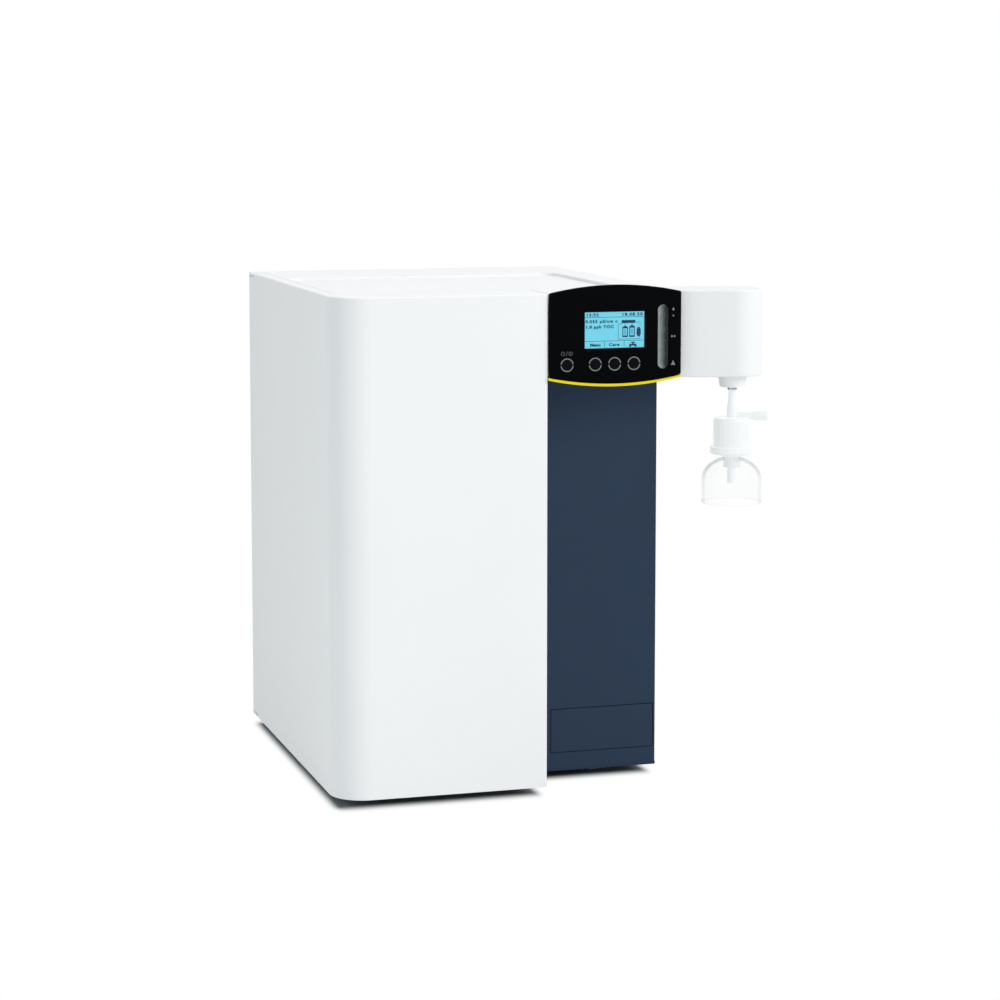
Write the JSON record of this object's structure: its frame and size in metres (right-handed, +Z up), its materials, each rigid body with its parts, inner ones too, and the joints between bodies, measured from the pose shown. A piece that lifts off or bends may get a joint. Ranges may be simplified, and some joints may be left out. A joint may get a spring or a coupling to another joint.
{
  "type": "ultrapure water system",
  "caption": "Bench ultrapure water system: white wrap-round door, slate column, black control head with screen and keys, swivel arm with a final filter and bell.",
  "frame": {"origin": "on the bench plane, under the centre of the whole outline at rest", "axes": "+X to the right as the user faces the front, +Y to the rear, +Z up"},
  "size_m": [0.4564, 0.4582, 0.5189],
  "materials": {
    "cover_white": "satin moulded",
    "panel_white": "satin powder coat",
    "column_blue": "satin powder coat",
    "plate_steel": "plain zinc coat",
    "foot_grey": "moulded",
    "screw_steel": "plain",
    "magnet_metal": "plated",
    "inlet_black": "satin",
    "switch_black": "gloss",
    "port_grey": "satin",
    "collet_blue": "satin",
    "cradle_grey": "textured",
    "cartridge_white": "satin",
    "resin_amber": "granular",
    "cap_blue": "satin",
    "seal_black": "moulded",
    "manifold_grey": "satin",
    "uv_steel": "brushed",
    "quartz_clear": "clear",
    "bracket_steel": "plain zinc coat",
    "motor_black": "satin",
    "pump_brass": "machined",
    "rotor_steel": "turned",
    "valve_black": "satin",
    "coil_black": "potted",
    "tube_natural": "natural",
    "cell_white": "satin",
    "supply_metal": "plain",
    "board_green": "solder mask",
    "fascia_black": "satin",
    "trim_yellow": "satin",
    "screen_dark": "lit screen",
    "window_clear": "clear",
    "key_black": "satin",
    "dome_grey": "silicone",
    "rocker_grey": "satin",
    "arm_white": "satin",
    "nozzle_metal": "polished",
    "filter_white": "natural translucent",
    "membrane_white": "pleated",
    "bell_clear": "clear moulded"
  },
  "bodies": {
    "cabinet": {"base_plate": "plate_steel", "feet": "foot_grey", "case_screws": "screw_steel", "top_panel": "panel_white", "pivot_pins": "screw_steel", "column_panel": "column_blue", "catch_magnets": "magnet_metal", "right_panel": "panel_white", "rear_panel": "panel_white", "bulkhead": "plate_steel", "power_inlet": "inlet_black", "switch_frame": "inlet_black", "water_ports": "port_grey", "port_collets": "collet_blue", "cartridge_cradle": "cradle_grey", "cartridges": "cartridge_white", "resin_beds": "resin_amber", "cartridge_caps": "cap_blue", "cartridge_seals": "seal_black", "cartridge_manifold": "manifold_grey", "uv_reactor": "uv_steel", "uv_lamp": "quartz_clear", "inner_brackets": "bracket_steel", "pump_motor": "motor_black", "pump_head": "pump_brass", "valve_bodies": "valve_black", "valve_coils": "coil_black", "conductivity_cell": "cell_white", "power_supply": "supply_metal", "control_board": "board_green", "water_tubes": "tube_natural", "fascia": "fascia_black", "fascia_trim": "trim_yellow", "head_housing": "cover_white", "arm_bracket": "bracket_steel", "union_seat": "port_grey", "display_module": "screen_dark", "display_window": "window_clear", "key_board": "board_green", "key_domes": "dome_grey"},
    "door": {"cover_door": "cover_white"},
    "service_plate": {"service_plate": "column_blue"},
    "switch_rocker": {"power_switch": "switch_black"},
    "rotor": {"pump_rotor": "rotor_steel"},
    "standby_button": {"standby_key": "key_black"},
    "menu_button": {"menu_key": "key_black"},
    "care_button": {"care_key": "key_black"},
    "dispense_button": {"dispense_key": "key_black"},
    "flow_rocker": {"flow_rocker": "rocker_grey"},
    "arm": {"arm_shell": "arm_white", "arm_base": "arm_white", "outlet_collar": "arm_white", "outlet_nozzle": "nozzle_metal", "arm_hose": "tube_natural", "union_head": "port_grey"},
    "filter": {"filter_upper": "filter_white", "filter_lower": "filter_white", "filter_core": "membrane_white"},
    "vent_cap": {"vent_cap": "filter_white"},
    "bell": {"bell": "bell_clear"}
  },
  "joints": [
    {"name": "door_hinge", "type": "hinge", "parent": "cabinet", "child": "door", "pos_m": [-0.22022, 0.19909, 0.261], "axis": [0, 0, -1], "range_deg": [0, 100]},
    {"name": "arm_swivel", "type": "hinge", "parent": "cabinet", "child": "arm", "pos_m": [0.14378, -0.18391, 0.4231], "axis": [0, 0, 1], "range_deg": [-31.5, 64.5]},
    {"name": "filter_pull", "type": "slide", "parent": "arm", "child": "filter", "axis": [0, 0, -1], "range_m": [0, 0.03]},
    {"name": "bell_pull", "type": "slide", "parent": "filter", "child": "bell", "axis": [0, 0, -1], "range_m": [0, 0.04]},
    {"name": "vent_cap_pull", "type": "slide", "parent": "filter", "child": "vent_cap", "axis": [0.9272, -0.3746, 0], "range_m": [0, 0.015]},
    {"name": "service_plate_pull", "type": "slide", "parent": "cabinet", "child": "service_plate", "axis": [0, -1, 0], "range_m": [0, 0.03]},
    {"name": "switch_rock", "type": "hinge", "parent": "cabinet", "child": "switch_rocker", "pos_m": [0.06878, 0.20308, 0.0935], "axis": [1, 0, 0], "range_deg": [-8, 8]},
    {"name": "pump_spin", "type": "hinge", "parent": "cabinet", "child": "rotor", "pos_m": [-0.06322, 0.10508, 0.076], "axis": [0, 1, 0], "continuous": true},
    {"name": "standby_press", "type": "slide", "parent": "cabinet", "child": "standby_button", "axis": [0, 1, 0], "range_m": [0, 0.001], "stiffness_N_per_m": 600, "springref_m": -0.0003, "deforming": ["key_domes"]},
    {"name": "menu_press", "type": "slide", "parent": "cabinet", "child": "menu_button", "axis": [0, 1, 0], "range_m": [0, 0.001], "stiffness_N_per_m": 600, "springref_m": -0.0003, "deforming": ["key_domes"]},
    {"name": "care_press", "type": "slide", "parent": "cabinet", "child": "care_button", "axis": [0, 1, 0], "range_m": [0, 0.001], "stiffness_N_per_m": 600, "springref_m": -0.0003, "deforming": ["key_domes"]},
    {"name": "dispense_press", "type": "slide", "parent": "cabinet", "child": "dispense_button", "axis": [0, 1, 0], "range_m": [0, 0.001], "stiffness_N_per_m": 600, "springref_m": -0.0003, "deforming": ["key_domes"]},
    {"name": "flow_rock", "type": "hinge", "parent": "cabinet", "child": "flow_rocker", "pos_m": [0.10978, -0.21191, 0.4658], "axis": [1, 0, 0], "range_deg": [-2.5, 2.5], "stiffness_Nm_per_rad": 0.4}
  ]
}
